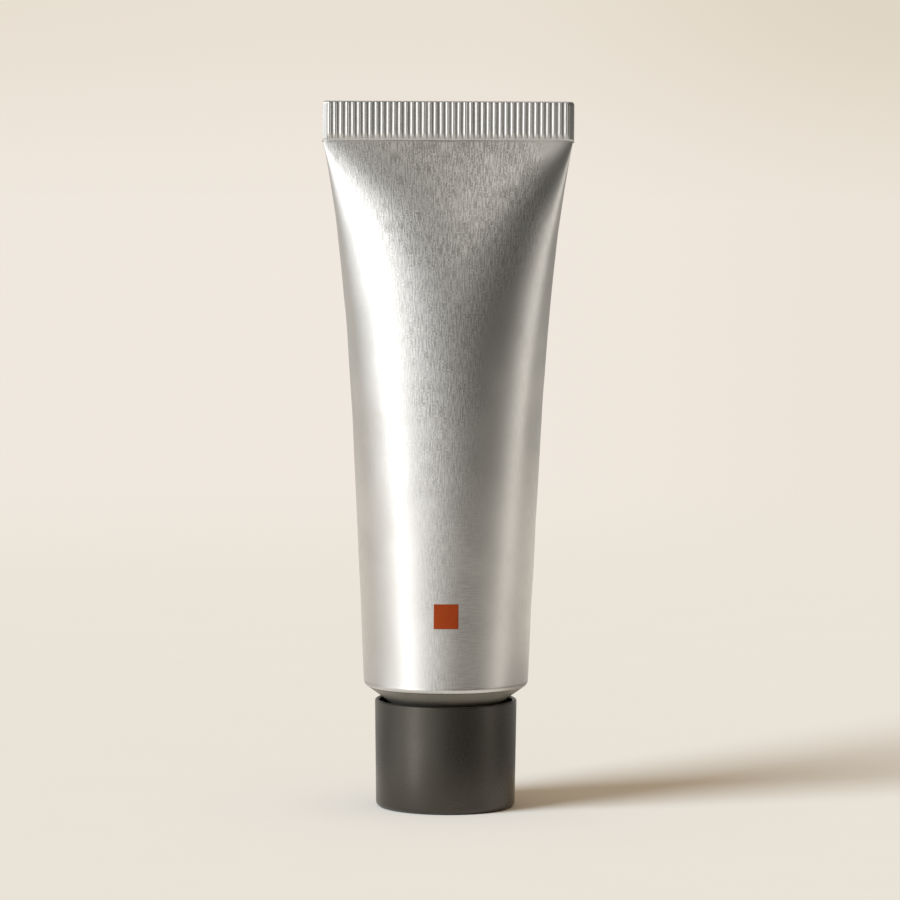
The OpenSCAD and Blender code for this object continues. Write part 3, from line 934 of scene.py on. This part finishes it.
class CREAMTUBE_OT_mouldings(bpy.types.Operator):
    """Give the cap, the shoulder and the liner their finishes"""

    bl_idname = "cream_tube.mouldings"
    bl_label = "Cap, Shoulder and Liner"

    def execute(self, context):
        finish = ready(context).finish
        looks = {
            "screw_cap": plastic_finish(
                "charcoal cap",
                finish.cap,
                finish.cap_worn,
                roughness=finish.cap_roughness,
                shine=0.95,
                relief=0.008 * MM,
                size=9 * MM,
                sheen=finish.cap_sheen,
            ),
            "shoulder_neck": plastic_finish(
                "grey shoulder",
                finish.shoulder,
                finish.shoulder_dull,
                roughness=0.4,
                shine=0.5,
                relief=0.004 * MM,
                size=6 * MM,
            ),
            "cap_liner": plastic_finish(
                "liner foam",
                finish.liner,
                finish.liner_pore,
                roughness=0.7,
                shine=0.3,
                relief=0.02 * MM,
                size=2 * MM,
            ),
        }
        for node, material in looks.items():
            mesh = frame["nodes"][node].data
            mesh.materials.clear()
            mesh.materials.append(material)
        return {"FINISHED"}


class CREAMTUBE_OT_stage(bpy.types.Operator):
    """Make the floor, the light, the surroundings and the camera"""

    bl_idname = "cream_tube.stage"
    bl_label = "Stage"

    def execute(self, context):
        stage = ready(context).stage
        scene = context.scene
        scene.view_settings.view_transform = "Standard"
        half = stage.floor_size / 2
        mesh = bpy.data.meshes.new("floor")
        corners = [(-half, -half, 0.0), (half, -half, 0.0), (half, half, 0.0), (-half, half, 0.0)]
        mesh.from_pydata(corners, [], [(0, 1, 2, 3)])
        mesh.materials.append(floor_finish(stage))
        floor = bpy.data.objects.new("floor", mesh)
        scene.collection.objects.link(floor)

        sun = bpy.data.lights.new("key", "SUN")
        sun.energy, sun.angle, sun.color = stage.key_strength, stage.key_angle, stage.key_color
        key = bpy.data.objects.new("key", sun)
        key.rotation_euler = Euler((math.pi / 2 - stage.key_elevation, 0.0, stage.key_azimuth))
        key.visible_glossy = False
        scene.collection.objects.link(key)
        room_world(stage)

        lens = bpy.data.cameras.new("camera")
        lens.sensor_width = 36.0
        lens.lens = lens.sensor_width * stage.focal_px / PICTURE_WIDTH
        camera = bpy.data.objects.new("camera", lens)
        camera.location = (stage.camera_shift, -stage.camera_distance, stage.camera_height)
        camera.rotation_euler = Euler((math.pi / 2 - stage.camera_pitch, stage.camera_roll, 0.0))
        scene.collection.objects.link(camera)
        scene.camera = camera
        return {"FINISHED"}


OPERATORS = (CREAMTUBE_OT_sleeve, CREAMTUBE_OT_square, CREAMTUBE_OT_mouldings, CREAMTUBE_OT_stage)


class CREAMTUBE_PT_panel(bpy.types.Panel):
    """Lists the pieces of the cream tube and their settings"""

    bl_idname = "CREAMTUBE_PT_panel"
    bl_label = "Cream Tube"
    bl_space_type = "VIEW_3D"
    bl_region_type = "UI"
    bl_category = "Cream Tube"

    def draw(self, context):
        tube = context.scene.cream_tube
        for operator in OPERATORS:
            self.layout.operator(operator.bl_idname)
        for group in (tube.sleeve, tube.seal, tube.square, tube.finish, tube.stage):
            box = self.layout.box()
            for name in group.__annotations__:
                box.prop(group, name)


CLASSES = (
    SleeveSizes,
    SealSizes,
    SquareSizes,
    Finishes,
    StageSetting,
    TubeSettings,
    *OPERATORS,
    CREAMTUBE_PT_panel,
)


def register():
    for each in CLASSES:
        bpy.utils.register_class(each)
    bpy.types.Scene.cream_tube = PointerProperty(type=TubeSettings)


def unregister():
    del bpy.types.Scene.cream_tube
    for each in reversed(CLASSES):
        bpy.utils.unregister_class(each)


def main():
    register()
    for operator in OPERATORS:
        group, name = operator.bl_idname.split(".")
        getattr(getattr(bpy.ops, group), name)()


if __name__ == "__main__":
    main()
